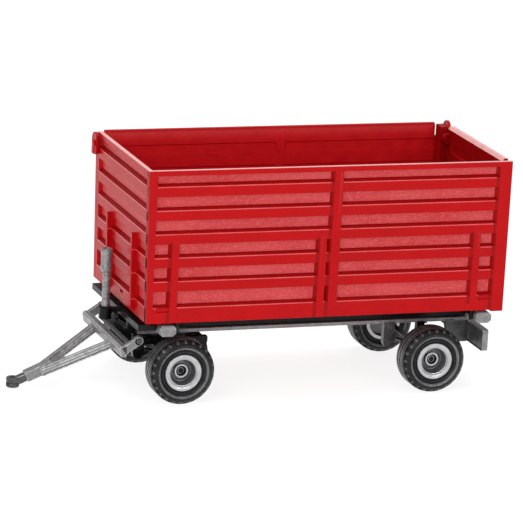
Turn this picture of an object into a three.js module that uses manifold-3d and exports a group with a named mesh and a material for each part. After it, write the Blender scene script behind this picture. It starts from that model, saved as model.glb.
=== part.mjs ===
// Toy two-axle tipping trailer: high-sided box on a channel chassis, steered front bogie with drawbar.
// Millimetres, +X to the rear, +Y to the right-hand side, +Z up, the ground at z = 0.
import * as THREE from "three";
import { mergeVertices } from "three/addons/utils/BufferGeometryUtils.js";
import Module from "manifold-3d";

const wasm = await Module();
wasm.setup();

// ---- Box ----
const tyreRadius = 14.3; // also the height of the axles, from which the heights above them are taken
const boxLength = 165; // front wall's top edge to the tailgate's outer face
const boxWidth = 78; // over the ribs of both sides
const boxTop = tyreRadius + 89.4; // height of the top rim above the ground
const wallBottom = tyreRadius + 23; // lower edge of the walls
const wallThick = 2.8; // rib face to the inner face
const recessDepth = 1.8; // how far the panels between the ribs stand back
const rimHeight = 2.2; // plain strip along the top edge
const rimThick = 1.4; // thickness of the wall at the very top
const rimTaper = 3; // height over which it thins to that
const firstRibDrop = 6.8; // top edge to the top of the first rib
const ribPitch = 10.3;
const ribHeight = 4.5;
const ribCount = 5;
const lipDrop = 1.3; // sloped lip below each recess
const railTop = tyreRadius + 29.9; // top of the plain rail along the bottom edge
const frontLean = 1.6; // the front wall's foot stands this far behind its top
const floorUnder = tyreRadius + 24.1; // underside of the floor
const floorThick = 1.6;
const frontPost = 4.1; // width of the upright at the front corner
const rearPost = 5.5; // width of the upright at the rear corner
const middlePost = 4; // width of the full-height upright
const middlePostX = 83.2; // where the full-height upright starts
const shortPost = 3.2; // width of the half-height uprights
const shortPostXs = [11.8, 78, 149.2];
const shortPostTop = tyreRadius + 58.7; // height that the half-height uprights reach
const finWidth = 1.6; // uprights on the front wall
const finReach = 2;
const finYs = [-21.8, 14];
const runnerY = 9.5; // centre line of the two runners under the floor
const runnerWidth = 3;
const playGap = 0.3; // room between pieces that meet

// ---- Hinges of the flap and the tailgate ----
const flapThick = 2.8;
const hingeDrop = 5.2; // top edge down to the hinge axis
const hingePin = 1.4; // radius
const hingePlay = 0.12; // between a hinge pin and its hole
const earWidth = 6.6;
const earHeight = 10;
const earThick = 1.5;
const rearEarRise = 1.2; // the rear ear stands this far above the top rim
const notchDrop = 0.8; // hinge axis down to the flap's corner notches
const farPostWidth = 6.5; // rear corner post on the flap's side, clear of the ear's swing
const farPostDepth = 4.2;
const farPostX = boxLength - earThick - playGap - farPostDepth;

// ---- Chassis ----
const railSpacing = 31.8; // between the webs' centre lines
const railWeb = 1.4;
const railFlange = 3; // width of a flange, outward from the web's inner face
const railFlangeThick = 1.5;
const railBottom = tyreRadius + 12.6;
const railTopZ = tyreRadius + 21.7;
const railFrontX = 0.5;
const railRearX = 158.3;
const railNose = 4.1; // the rails' front ends are cut away below railNoseZ, clear of the turning drawbar
const railNoseZ = tyreRadius + 15;
const crossBeamTop = tyreRadius + 21.3;
const crossBeamHeight = 2.6;
const crossBeamDepth = 5.2;
const crossBeamHalf = 34; // half its length
const memberXs = [57, 112]; // plain cross members
const pivotY = 33; // tipping axis, out from the middle
const pivotZ = tyreRadius + 19.1;
const pivotPin = 1.3; // radius of the tipping pins
const blockLength = 7.4;
const blockHeight = 4.6;
const blockHalf = 3.4; // half its width
const frontBlockX = 8.2;
const rearBlockX = 153;
const lampBarX = 158.6;
const lampBarThick = 2.7;
const lampBarHalf = 34;
const lampBarBottom = tyreRadius + 2.7;
const lampBarTop = tyreRadius + 12.4;
const lampWidth = 9;
const lampThick = 0.7;

const lampRim = 2.4; // bar left round a lamp's pocket
const lampY = lampBarHalf - lampWidth / 2 - 1.6;
const barPlateHalf = 0.7; // half the thickness of the plates that carry the lamp bar
const hangerRound = 2.5; // radius of a front hanger's foot
const memberHalf = 1.2;
const bearerRoom = 0.6; // between the ram and its bearers
const stopFoot = tyreRadius + 7.7;
const kingRadius = 1.95;
const kingRoomGap = 0.15;
const kingHeadRadius = 3.4;
const drawBarDeep = 3.2;
const drawBarHigh = 4.8;
const armHigh = 3.6;
const armEyeRadius = 2;
const tailPinReach = 2.6; // how far a tailgate pin runs into the gate

// ---- Running gear ----
const tyreWidth = 12.5;
const rimRadius = 8.1;
const track = 62.5; // tyre centre to tyre centre
const frontAxleX = 20.2;
const rearAxleX = 135.5;
const axleRadius = 1.45;
const axlePlay = 0.1;
const axleBeam = 4; // square part between the springs
const axleTipOut = 1.5; // the axle's end beyond the tyre's centre plane
const hangerY = 17; // centre line of the springs and hangers
const hangerWidth = 3;
const hangerReach = 14.8; // axle to the middle of a hanger
const hangerBottom = tyreRadius + 1.7;
const springWidth = 2.4;
const springThick = 2.2;
const springRise = 2.6; // the spring's ends above its middle

// ---- Bogie and drawbar ----
const ringRadius = 18;
const ringInner = 13;
const ringThick = 1.6;
const bogieTop = tyreRadius + 10.5; // top of the bogie's beams
const bogieBeam = 2.6; // their height
const bogieFrontX = 0.6;
const bogieFrontDepth = 3.8;
const lugY = 24; // centre line of the drawbar lugs
const lugWidth = 2.8;
const drawPivotX = 2.4;
const drawPivotZ = tyreRadius + 12.5;
const drawPin = 1.2; // radius
const drawBarX = -4.4; // cross bar of the drawbar
const drawBarZ = tyreRadius + 8.1;
const drawBarHalf = 28.4;
const armThick = 2.4;
const beamSpreadY = 13; // where a side beam leaves the cross bar
const neckX = -31.6;
const neckZ = 7.5;
const neckHalf = 2; // half the distance of the beams at the neck
const beamHeight = 4;
const beamThick = 2.4;
const eyeX = -44.7;
const eyeZ = 2.6;
const eyeRadius = 2.9;
const eyeHole = 1.25;
const eyeThick = 4.3;

// ---- Front post ----
const postX = -5;
const postY = -1.8;
const postRadius = 1.8;
const postFoot = tyreRadius + 20.9;
const postStep = tyreRadius + 36.7; // where the wider head starts
const postTop = tyreRadius + 46.9;
const headRadius = 2.6;
const bossRadius = 2.8;
const bossFoot = tyreRadius + 15.3;

// ---- Tipping ram ----
const ramX = 84.5;
const ramPivotZ = tyreRadius + 14.2;
const ramRadius = 4.6;
const ramBottom = tyreRadius + 8.9;
const ramTopZ = tyreRadius + 20.3;
const stageWall = 0.9; // radius lost from one stage to the next
const stagePlay = 0.15;
const ramFloor = 0.9; // closed bottom of the barrel and of each hollow stage
const ramHeadZ = tyreRadius + 21.9;
const ramHeadRadius = 1.5;
const trunnionRadius = 1.3;
const bearerDepth = 3; // cross members beside the ram

const roundSteps = 20;
const wheelSteps = 28;

const colours = {
  red: [0xb4141a, 0.38, 0],
  black: [0x26272a, 0.45, 0],
  silver: [0xb9babd, 0.32, 0.6],
  steel: [0x8b8d90, 0.3, 0.9],
  tyre: [0x2b2b2d, 0.75, 0],
  lens: [0x9c1010, 0.2, 0],
};

const trailer = new THREE.Group();

function finish(name) {
  const [color, roughness, metalness] = colours[name];
  return new THREE.MeshStandardMaterial({ color, roughness, metalness });
}

// A closed geometry as a solid that can be joined and cut.
function solid(geometry) {
  const plain = geometry.index ? geometry.toNonIndexed() : geometry.clone();
  plain.deleteAttribute("normal");
  plain.deleteAttribute("uv");
  const merged = mergeVertices(plain, 1e-4);
  const vertProperties = merged.attributes.position.array;
  const triVerts = new Uint32Array(merged.index.array);
  return new wasm.Manifold(new wasm.Mesh({ numProp: 3, vertProperties, triVerts }));
}

function join(...pieces) {
  return pieces.reduce((whole, piece) => whole.add(piece));
}

function cut(whole, ...holes) {
  return holes.reduce((left, hole) => left.subtract(hole), whole);
}

function addPart(name, colour, piece) {
  const mesh = piece.getMesh();
  const positions = new THREE.BufferAttribute(new Float32Array(mesh.vertProperties), 3);
  const geometry = new THREE.BufferGeometry().setAttribute("position", positions);
  geometry.setIndex(new THREE.BufferAttribute(new Uint32Array(mesh.triVerts), 1));
  geometry.computeVertexNormals();
  const part = new THREE.Mesh(geometry, finish(colour));
  part.name = name;
  trailer.add(part);
}

function block(x0, x1, y0, y1, z0, z1) {
  const geometry = new THREE.BoxGeometry(x1 - x0, y1 - y0, z1 - z0);
  geometry.translate((x0 + x1) / 2, (y0 + y1) / 2, (z0 + z1) / 2);
  return solid(geometry);
}

// A cylinder along one axis ("x", "y" or "z") between two places on it; at is its centre in the other two.
function rod(axis, from, to, at, radius, steps = roundSteps, endRadius = radius) {
  const geometry = new THREE.CylinderGeometry(endRadius, radius, to - from, steps);
  geometry.translate(0, (from + to) / 2, 0);
  if (axis === "x") geometry.rotateZ(-Math.PI / 2).translate(0, at[0], at[1]);
  if (axis === "y") geometry.translate(at[0], 0, at[1]);
  if (axis === "z") geometry.rotateX(Math.PI / 2).translate(at[0], at[1], 0);
  return solid(geometry);
}

// An outline of [a, b] points, pushed out by length; place maps a, b and the push onto X, Y and Z.
function extrude(points, length, place) {
  const shape = new THREE.Shape(points.map(([a, b]) => new THREE.Vector2(a, b)));
  const geometry = new THREE.ExtrudeGeometry(shape, { depth: length, bevelEnabled: false });
  return solid(geometry.applyMatrix4(place));
}

function axes(a, b, push, origin) {
  const place = new THREE.Matrix4().makeBasis(new THREE.Vector3(...a), new THREE.Vector3(...b),
    new THREE.Vector3(...push));
  return place.setPosition(...origin);
}

// An outline in X and Z, pushed from y0 to y1.
function plateXZ(points, y0, y1) {
  return extrude(points, y1 - y0, axes([1, 0, 0], [0, 0, 1], [0, -1, 0], [0, y1, 0]));
}

// An outline in Y and Z, pushed from x0 to x1.
function plateYZ(points, x0, x1) {
  return extrude(points, x1 - x0, axes([0, 1, 0], [0, 0, 1], [1, 0, 0], [x0, 0, 0]));
}

function lathe(points, steps) {
  const profile = [...points, points[0]].map(([r, h]) => new THREE.Vector2(r, h));
  return new THREE.LatheGeometry(profile, steps);
}

// ---- Walls ----
// A wall's section is drawn as depth inward from the rib face, and height.
function wallSection(thick, lean) {
  const leanAt = (z) => (lean * (boxTop - z)) / (boxTop - wallBottom);
  const point = (depth, z) => [depth + leanAt(z), z];
  const outline = [point(0, boxTop), point(0, boxTop - rimHeight), point(recessDepth, boxTop - rimHeight)];
  for (let i = 0; i < ribCount; i += 1) {
    const ribTop = boxTop - firstRibDrop - i * ribPitch;
    outline.push(point(recessDepth, ribTop + lipDrop), point(0, ribTop));
    outline.push(point(0, ribTop - ribHeight), point(recessDepth, ribTop - ribHeight));
  }
  outline.push(point(recessDepth, railTop + lipDrop), point(0, railTop), point(0, wallBottom));
  outline.push(point(thick, wallBottom), point(thick, boxTop - rimTaper), point(rimThick, boxTop));
  return outline.reverse();
}

function wallPost(depth0, depth1, z0, z1, lean) {
  const leanAt = (z) => (lean * (boxTop - z)) / (boxTop - wallBottom);
  const corners = [[depth0, z0], [depth1, z0], [depth1, z1], [depth0, z1]];
  return corners.map(([depth, z]) => [depth + leanAt(z), z]);
}

const postDepth = (recessDepth + wallThick) / 2; // uprights are sunk into the panel behind them
const nearSide = -boxWidth / 2;
const farSide = boxWidth / 2;
const flapGapY = farSide - flapThick - playGap; // right-hand end of the front wall
const floorTop = floorUnder + floorThick;
const hingeZ = boxTop - hingeDrop;
const tailgateX = boxLength - wallThick; // inner face of the tailgate
const flapRearX = boxLength - earThick - playGap;

// Uprights of a long side, as [start, end, top].
function sidePosts() {
  const full = boxTop - rimHeight;
  const posts = [[0, frontPost, full], [middlePostX, middlePostX + middlePost, full]];
  shortPostXs.forEach((x) => posts.push([x, x + shortPost, shortPostTop]));
  return posts;
}

function longSide(place, thick, length) {
  const panel = extrude(wallSection(thick, 0), length, place(0));
  const posts = sidePosts().map(([from, to, top]) =>
    extrude(wallPost(0, postDepth, wallBottom, top, 0), to - from, place(from)));
  const corner = wallPost(0, postDepth, wallBottom, boxTop - rimHeight, 0);
  return join(panel, ...posts, extrude(corner, rearPost, place(length - rearPost)));
}

// Trims a long side's front end to the slope of the front wall.
function leanTrim(y0, y1) {
  const below = wallBottom - 2;
  const outline = [[-1, below], [frontLean, below], [frontLean, wallBottom], [0, boxTop], [-1, boxTop]];
  return plateXZ(outline, y0, y1);
}

function frontWall() {
  const width = flapGapY - nearSide;
  const place = (y, w) => axes([1, 0, 0], [0, 0, 1], [0, -1, 0], [0, y + w, 0]);
  const panel = extrude(wallSection(wallThick, frontLean), width, place(nearSide, width));
  const upright = wallPost(0, postDepth, wallBottom, boxTop - rimHeight, frontLean);
  const ends = [[nearSide, 1.6], [flapGapY - 2, 2]].map(([y, w]) => extrude(upright, w, place(y, w)));
  const fin = wallPost(-finReach, 1, wallBottom + 1.5, shortPostTop, frontLean);
  const fins = finYs.map((y) => extrude(fin, finWidth, place(y - finWidth / 2, finWidth)));
  return join(panel, ...ends, ...fins);
}

// Hooks under the floor that sit over the tipping pins, open downwards so that the far pair can lift off.
function tippingHooks() {
  const hookX = [frontBlockX + blockLength + playGap, rearBlockX - playGap - 1.6];
  const hooks = [];
  for (const x of hookX)
    for (const side of [-1, 1]) {
      const y = side * pivotY;
      const plate = block(x, x + 1.6, y - 2.4, y + 2.4, pivotZ - 1.2, floorUnder + 0.4);
      const slot = block(x - 1, x + 3, y - pivotPin - 0.1, y + pivotPin + 0.1, pivotZ - 3, pivotZ);
      const seat = rod("x", x - 1, x + 3, [y, pivotZ], pivotPin + 0.1);
      hooks.push(cut(plate, slot, seat));
    }
  return hooks;
}

function tub() {
  const nearPlace = (x) => axes([0, 1, 0], [0, 0, 1], [1, 0, 0], [x, nearSide, 0]);
  const near = cut(longSide(nearPlace, wallThick, boxLength), leanTrim(nearSide - 1, nearSide + wallThick));
  const postX0 = boxLength - rearPost;
  const foot = block(postX0, boxLength, nearSide, nearSide + rearPost, wallBottom - 0.7, boxTop - rimHeight);
  const floor = block(wallThick, tailgateX - playGap, nearSide + 1, flapGapY, floorUnder, floorTop);
  const farPost = block(farPostX, flapRearX, flapGapY - farPostWidth, flapGapY, floorUnder, boxTop);
  const runners = [-runnerY, runnerY].map((y) =>
    block(8, 156, y - runnerWidth / 2, y + runnerWidth / 2, railTopZ + playGap, floorUnder + 0.4));
  const hole = hingePin + hingePlay;
  const frontHole = rod("x", -3, 12, [farSide - earWidth / 2, hingeZ], hole);
  const rearHole = rod("x", flapRearX - 8, boxLength + 3, [farSide - earWidth / 2, hingeZ], hole);
  const whole = join(near, foot, frontWall(), floor, farPost, ...runners, ...tippingHooks());
  return cut(whole, frontHole, rearHole);
}

const flapHingeY = farSide - earWidth / 2;
const tailHingeX = boxLength - 3.8;

// A hinge ear: a plate across X with round ends, its axis at the flap's hinge.
function ear(x0, x1, top) {
  const radius = earWidth / 2;
  const low = hingeZ - earHeight / 2 + radius;
  const high = top - radius;
  const ends = [low, high].map((z) => rod("x", x0, x1, [flapHingeY, z], radius));
  return join(block(x0, x1, farSide - earWidth, farSide, low, high), ...ends);
}

function flap() {
  const start = playGap + wallThick;
  const place = (x) => axes([0, -1, 0], [0, 0, 1], [-1, 0, 0], [x, farSide, 0]);
  const panel = extrude(wallSection(flapThick, 0), boxLength, place(boxLength));
  const posts = sidePosts().map(([from, to, top]) =>
    extrude(wallPost(0, postDepth, wallBottom, top, 0), to - from, place(to)));
  const corner = wallPost(0, postDepth, wallBottom, boxTop - rimHeight, 0);
  posts.push(extrude(corner, rearPost, place(boxLength)));
  const notchZ = hingeZ - notchDrop; // above this the plate swings in past the axis, between the end walls
  const inside = farSide - 5;
  const outside = farSide + 1;
  const frontNotch = block(-1, start + playGap, inside, outside, notchZ, boxTop + 1);
  const rearNotch = block(farPostX - 0.6, boxLength + 1, inside, outside, notchZ, boxTop + 1);
  const plate = cut(join(panel, ...posts), frontNotch, rearNotch, leanTrim(inside, outside));
  const frontEar = ear(-earThick - playGap, -playGap, hingeZ + earHeight / 2);
  const tieFoot = hingeZ - earHeight / 2;
  const frontTie = block(-earThick - playGap, 1, farSide - flapThick, farSide, tieFoot, notchZ);
  const rearEar = ear(boxLength - earThick, boxLength, boxTop + rearEarRise);
  const hole = rod("x", -5, boxLength + 5, [flapHingeY, hingeZ], hingePin + 0.06);
  return cut(join(plate, frontEar, frontTie, rearEar), hole);
}

function flapPin(from, to) {
  return rod("x", from, to, [flapHingeY, hingeZ], hingePin);
}

const tailNear = nearSide + rearPost + playGap;
const tailFar = flapGapY - farPostWidth - playGap;

function tailgate() {
  const place = (y) => axes([-1, 0, 0], [0, 0, 1], [0, 1, 0], [boxLength, y, 0]);
  const panel = extrude(wallSection(wallThick, 0), tailFar - tailNear, place(tailNear));
  const upright = wallPost(0, postDepth, wallBottom, boxTop - rimHeight, 0);
  const uprights = [tailNear, -1.8, tailFar - 3.6].map((y) => extrude(upright, 3.6, place(y)));
  const bosses = [tailNear, tailFar - 3].map((y) =>
    block(tailHingeX - 2.2, boxLength - 1, y, y + 3, hingeZ - 2.4, hingeZ + 2.4));
  const hole = rod("y", tailNear - 1, tailFar + 1, [tailHingeX, hingeZ], hingePin + 0.06);
  return cut(join(panel, ...uprights, ...bosses), hole);
}

// The right-hand pin ends short of the flap's pin, which crosses its line.
const tailPinEnd = flapHingeY - hingePin - hingePlay - 2 * playGap;

function tailPinHoles() {
  const hole = hingePin + hingePlay;
  return rod("y", nearSide + 2, tailPinEnd + 0.2, [tailHingeX, hingeZ], hole);
}

// ---- Chassis ----
const webOut = railSpacing / 2 + railWeb / 2;
const webIn = webOut - railWeb;
const flangeOut = webIn + railFlange;

function rail(side) {
  const low = Math.min(side * webIn, side * flangeOut);
  const high = Math.max(side * webIn, side * flangeOut);
  const webLow = Math.min(side * webIn, side * webOut);
  const webHigh = Math.max(side * webIn, side * webOut);
  const web = block(railFrontX, railRearX, webLow, webHigh, railBottom, railTopZ);
  const lowFlange = block(railFrontX, railRearX, low, high, railBottom, railBottom + railFlangeThick);
  const topFlange = block(railFrontX, railRearX, low, high, railTopZ - railFlangeThick, railTopZ);
  const roomEnd = railFrontX + railNose;
  const steerRoom = block(railFrontX - 1, roomEnd, low - 1, high + 1, railBottom - 1, railNoseZ);
  return cut(join(web, lowFlange, topFlange), steerRoom);
}

function hangers(axleX, top) {
  const pieces = [];
  for (const side of [-1, 1]) {
    const y0 = side * hangerY - hangerWidth / 2;
    const y1 = side * hangerY + hangerWidth / 2;
    const frontX = axleX - hangerReach;
    const rearX = axleX + hangerReach;
    const footZ = hangerBottom + hangerRound;
    pieces.push(block(frontX - hangerRound, frontX + hangerRound, y0, y1, footZ, top));
    pieces.push(rod("y", y0, y1, [frontX, footZ], hangerRound));
    const foot = [[rearX - 1, hangerBottom], [rearX + 2.4, hangerBottom]];
    const slant = [[rearX - 3.3, top], ...foot, [rearX + 0.7, top]];
    pieces.push(plateXZ(slant, y0, y1));
  }
  return pieces;
}

function lampBarPlates() {
  return [-1, 1].map((side) => {
    const y = side * (webOut + 0.4);
    const start = rearAxleX + hangerReach;
    const end = lampBarX - playGap;
    return block(start, end, y - barPlateHalf, y + barPlateHalf, lampBarBottom, railBottom + 1);
  });
}

function chassisFrame() {
  const beamFoot = crossBeamTop - crossBeamHeight;
  const bayHalf = webIn + 0.4;
  const front = block(-0.2, crossBeamDepth - 0.2, -crossBeamHalf, crossBeamHalf, beamFoot, crossBeamTop);
  const rearHalf = pivotY + 1.4 - blockHalf - playGap;
  const rear = block(rearBlockX, railRearX, -rearHalf, rearHalf, crossBeamTop - 4, crossBeamTop);
  const links = [-1, 1].flatMap((side) => {
    const y0 = side > 0 ? pivotY - 2.5 : -crossBeamHalf;
    const y1 = side > 0 ? crossBeamHalf : -pivotY + 2.5;
    return [block(4, frontBlockX - playGap, y0, y1, beamFoot, crossBeamTop - 0.4)];
  });
  const members = memberXs.map((x) =>
    block(x - memberHalf, x + memberHalf, -bayHalf, bayHalf, railBottom + 1, railTopZ - 2));
  const bearers = [-1, 1].map((side) => {
    const middle = ramX + side * (ramRadius + bearerRoom + bearerDepth / 2);
    const start = middle - bearerDepth / 2;
    return block(start, start + bearerDepth, -bayHalf, bayHalf, railBottom, railTopZ - 2.5);
  });
  const plate = rod("z", railBottom, railBottom + ringThick, [frontAxleX, 0], ringRadius, wheelSteps);
  const stops = [-1, 1].map((side) => {
    const y = side * hangerY;
    return block(rearAxleX - 1.8, rearAxleX + 1.8, y - 1.4, y + 1.4, stopFoot, railBottom + 0.5);
  });
  const postArm = block(postX, 1, postY - 1.5, postY + 1.5, bossFoot + 3.2, postFoot - 2 * playGap);
  const postBoss = rod("z", bossFoot + 0.4, postFoot - playGap, [postX, postY], bossRadius);
  const whole = join(rail(-1), rail(1), front, rear, ...links, ...members, ...bearers, plate, ...stops,
    ...hangers(rearAxleX, railBottom + 0.6), ...lampBarPlates(), postArm, postBoss);
  const kingHole = rod("z", railBottom - 1, railBottom + 4, [frontAxleX, 0], kingRadius + kingRoomGap);
  const ramHole = rod("x", ramX - 12, ramX + 12, [0, ramPivotZ], trunnionRadius + 0.1);
  return cut(whole, kingHole, ramHole);
}

// A tipping pivot block with its pin, which sticks out towards the middle of the trailer for the tub's hook.
function pivotBlock(x, side, inward) {
  const top = pivotZ + blockHeight / 2;
  const bottom = pivotZ - blockHeight / 2;
  const y = side * (pivotY + 1.4);
  const end = x + blockLength;
  const under = [[x, bottom + 1.2], [x + 1.4, bottom], [end - 1.4, bottom], [end, bottom + 1.2]];
  const outline = [...under, [end, top - 1], [end - 1, top], [x + 1, top], [x, top - 1]];
  const outer = y + side * blockHalf;
  const past = outer + side * 0.1;
  const corner = [[outer - side * 0.6, top + 0.1], [past, top + 0.1], [past, top - 1.4]];
  const swingRoom = plateYZ(side > 0 ? corner.reverse() : corner, x - 1, end + 1);
  const body = cut(plateXZ(outline, y - blockHalf, y + blockHalf), swingRoom);
  const pinFrom = inward > 0 ? end - 1 : x - 2.4;
  return join(body, rod("x", pinFrom, pinFrom + 3.4, [side * pivotY, pivotZ], pivotPin));
}

function lampBar() {
  const bar = block(lampBarX, lampBarX + lampBarThick, -lampBarHalf, lampBarHalf, lampBarBottom, lampBarTop);
  const pockets = [-1, 1].map((side) => {
    const y0 = side * lampY - lampWidth / 2;
    const back = lampBarX + lampBarThick;
    return block(back - 0.9, back + 1, y0, y0 + lampWidth, lampBarBottom + lampRim, lampBarTop - lampRim);
  });
  return cut(bar, ...pockets);
}

function lens(side) {
  const y = side * lampY;
  const back = lampBarX + lampBarThick - 0.6;
  const half = lampWidth / 2 - playGap;
  const inset = lampRim + playGap;
  return block(back, back + lampThick, y - half, y + half, lampBarBottom + inset, lampBarTop - inset);
}

// ---- Running gear ----
function axle(x) {
  const deep = axleBeam / 2;
  const beamEnd = hangerY + 4;
  const beam = block(x - deep, x + deep, -beamEnd, beamEnd, tyreRadius - deep, tyreRadius + deep);
  const end = track / 2 + axleTipOut;
  return join(beam, rod("y", -end, end, [x, tyreRadius], axleRadius));
}

function spring(x, side) {
  const half = hangerReach - 2.5 - 0.4;
  const base = tyreRadius + axleBeam / 2 + playGap;
  const steps = 8;
  const top = [];
  const bottom = [];
  for (let i = 0; i <= steps; i += 1) {
    const t = (2 * i) / steps - 1;
    bottom.push([x + t * half, base + springRise * t * t]);
    top.push([x + t * half, base + springThick + (springRise - 1) * t * t]);
  }
  const y = side * hangerY;
  return plateXZ([...bottom, ...top.reverse()], y - springWidth / 2, y + springWidth / 2);
}

function wheelPlace(geometry, x, side) {
  if (side < 0) geometry.rotateZ(Math.PI);
  return solid(geometry.translate(x, (side * track) / 2, tyreRadius));
}

function tyre(x, side) {
  const bead = rimRadius - 0.3;
  const half = tyreWidth / 2;
  const outer = [[bead, 4.4], [bead + 1.4, 5.6], [bead + 3, half], [bead + 4.6, half - 0.1],
    [tyreRadius - 0.5, half - 1.3], [tyreRadius, half - 3.2]];
  const profile = [...outer, ...outer.map(([r, h]) => [r, -h]).reverse()];
  return wheelPlace(lathe(profile.reverse(), wheelSteps), x, side);
}

function rim(x, side) {
  const hole = axleRadius + axlePlay;
  const half = 5.7; // rim edge to the tyre's centre plane
  const profile = [[hole, -3.4], [6, -3.4], [6.6, -half], [rimRadius, -half], [rimRadius, -4.7],
    [rimRadius - 0.5, -4.7], [rimRadius - 0.5, 4.7], [rimRadius, 4.7], [rimRadius, half], [5.6, half],
    [4.6, 1.2], [3.15, 1.2], [3.15, 1.9], [2.15, 1.9], [2.15, 0.9], [hole, 0.9]];
  return wheelPlace(lathe(profile, wheelSteps), x, side);
}

// ---- Bogie and drawbar ----
function bogieFrame() {
  const rearX = frontAxleX + hangerReach;
  const frontX = frontAxleX - hangerReach;
  const low = bogieTop - bogieBeam;
  const sides = [-1, 1].map((side) => {
    const y0 = side * hangerY - hangerWidth / 2;
    return block(bogieFrontX + 1, rearX + 1.5, y0, y0 + hangerWidth, low, bogieTop);
  });
  const frontHalf = lugY + lugWidth / 2;
  const front = block(bogieFrontX, bogieFrontX + bogieFrontDepth, -frontHalf, frontHalf, low, bogieTop);
  const rear = block(rearX - 3, rearX, -hangerY, hangerY, low, bogieTop);
  const middle = block(frontX, rearX, -3, 3, low + 0.6, bogieTop);
  const ring = rod("z", bogieTop - 0.1, railBottom - 0.4, [frontAxleX, 0], ringRadius, wheelSteps);
  const lugs = [-1, 1].flatMap((side) => {
    const y0 = side * lugY - lugWidth / 2;
    const y1 = side * lugY + lugWidth / 2;
    return [block(bogieFrontX, bogieFrontX + bogieFrontDepth, y0, y1, low, drawPivotZ),
      rod("y", y0, y1, [drawPivotX + 0.1, drawPivotZ], bogieFrontDepth / 2)];
  });
  const whole = join(...sides, front, rear, middle, ring, ...lugs, ...hangers(frontAxleX, bogieTop - 0.2));
  const kingHole = rod("z", low - 1, railBottom, [frontAxleX, 0], kingRadius + kingRoomGap);
  const kingRoom = rod("z", low - 1, bogieTop - 0.7, [frontAxleX, 0], kingHeadRadius + playGap);
  const pinHoles = rod("y", -40, 40, [drawPivotX, drawPivotZ], drawPin + 0.1);
  return cut(whole, kingHole, kingRoom, pinHoles);
}

function kingpin() {
  const at = [frontAxleX, 0];
  const plateTop = railBottom + ringThick;
  const head = rod("z", bogieTop - bogieBeam + 0.4, bogieTop - 1, at, kingHeadRadius);
  const nut = rod("z", plateTop + playGap, plateTop + 2, at, kingHeadRadius, 6);
  return join(head, rod("z", bogieTop - 1.4, plateTop + 1, at, kingRadius), nut);
}

// A straight beam of rectangular section between two points.
function beam(from, to, height, thick) {
  const start = new THREE.Vector3(...from);
  const along = new THREE.Vector3(...to).sub(start);
  const length = along.length();
  along.normalize();
  const side = new THREE.Vector3(0, 0, 1).cross(along).normalize();
  const up = along.clone().cross(side);
  const place = new THREE.Matrix4().makeBasis(along, side, up).setPosition(start);
  return solid(new THREE.BoxGeometry(length, thick, height).translate(length / 2, 0, 0).applyMatrix4(place));
}

function drawbarFrame() {
  const x0 = drawBarX - drawBarDeep / 2;
  const z0 = drawBarZ - drawBarHigh / 2;
  const bar = block(x0, x0 + drawBarDeep, -drawBarHalf, drawBarHalf, z0, z0 + drawBarHigh);
  const arms = [-1, 1].flatMap((side) => {
    const y = side * (drawBarHalf - armThick / 2);
    return [beam([drawBarX, y, drawBarZ], [drawPivotX, y, drawPivotZ], armHigh, armThick),
      rod("y", y - armThick / 2, y + armThick / 2, [drawPivotX, drawPivotZ], armEyeRadius)];
  });
  const beams = [-1, 1].map((side) => {
    const wide = [drawBarX, side * beamSpreadY, drawBarZ - 0.4];
    const narrow = [neckX - 1, side * neckHalf, neckZ - 0.5];
    return beam(wide, narrow, beamHeight, beamThick);
  });
  const neck = beam([neckX + 4, 0, neckZ + 2.2], [eyeX + 5.5, 0, eyeZ + 2.1], 4.4, 5.2);
  const whole = join(bar, ...arms, ...beams, neck);
  const pinHoles = rod("y", -40, 40, [drawPivotX, drawPivotZ], drawPin + 0.06);
  return cut(whole, pinHoles);
}

function towEye() {
  const ring = rod("z", eyeZ - eyeThick / 2, eyeZ + eyeThick / 2, [eyeX, 0], eyeRadius);
  const shank = beam([eyeX + 1.5, 0, eyeZ + 0.4], [eyeX + 5.3, 0, eyeZ + 1.9], 3.4, 3.6);
  const hole = rod("z", eyeZ - eyeThick, eyeZ + eyeThick, [eyeX, 0], eyeHole);
  return cut(join(ring, shank), hole);
}

function drawPinAt(side) {
  const y0 = side > 0 ? lugY - lugWidth / 2 + 0.3 : -drawBarHalf - 0.5;
  const y1 = side > 0 ? drawBarHalf + 0.5 : -lugY + lugWidth / 2 - 0.3;
  return rod("y", y0, y1, [drawPivotX, drawPivotZ], drawPin);
}

// ---- Ram ----
const stageCount = 3;

function ramBarrel() {
  const bore = ramRadius - stageWall + stagePlay;
  const barrel = rod("z", ramBottom, ramTopZ, [ramX, 0], ramRadius);
  const reach = ramRadius + 0.6 + bearerDepth - 0.4;
  const pin = rod("x", ramX - reach, ramX + reach, [0, ramPivotZ], trunnionRadius);
  const hole = rod("z", ramBottom + ramFloor, ramTopZ + 1, [ramX, 0], bore);
  return cut(join(barrel, pin), hole);
}

function ramStage(index) {
  const radius = ramRadius - index * stageWall;
  const bottom = ramBottom + index * (ramFloor + playGap);
  const top = ramTopZ + index * playGap;
  const tube = rod("z", bottom, top, [ramX, 0], radius);
  if (index === stageCount) {
    const neck = rod("z", top - 0.4, ramHeadZ, [ramX, 0], 0.9);
    const head = new THREE.SphereGeometry(ramHeadRadius, 16, 10).translate(ramX, 0, ramHeadZ);
    return join(tube, neck, solid(head));
  }
  return cut(tube, rod("z", bottom + ramFloor, top + 1, [ramX, 0], radius - stageWall + stagePlay));
}

// ---- Post ----
function postFootPiece() {
  return rod("z", postFoot, postStep - playGap, [postX, postY], postRadius, roundSteps, postRadius * 0.95);
}

function postHead() {
  return rod("z", postStep, postTop, [postX - 0.4, postY], headRadius);
}

function tailPin(from, to) {
  return rod("y", from, to, [tailHingeX, hingeZ], hingePin);
}

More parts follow.
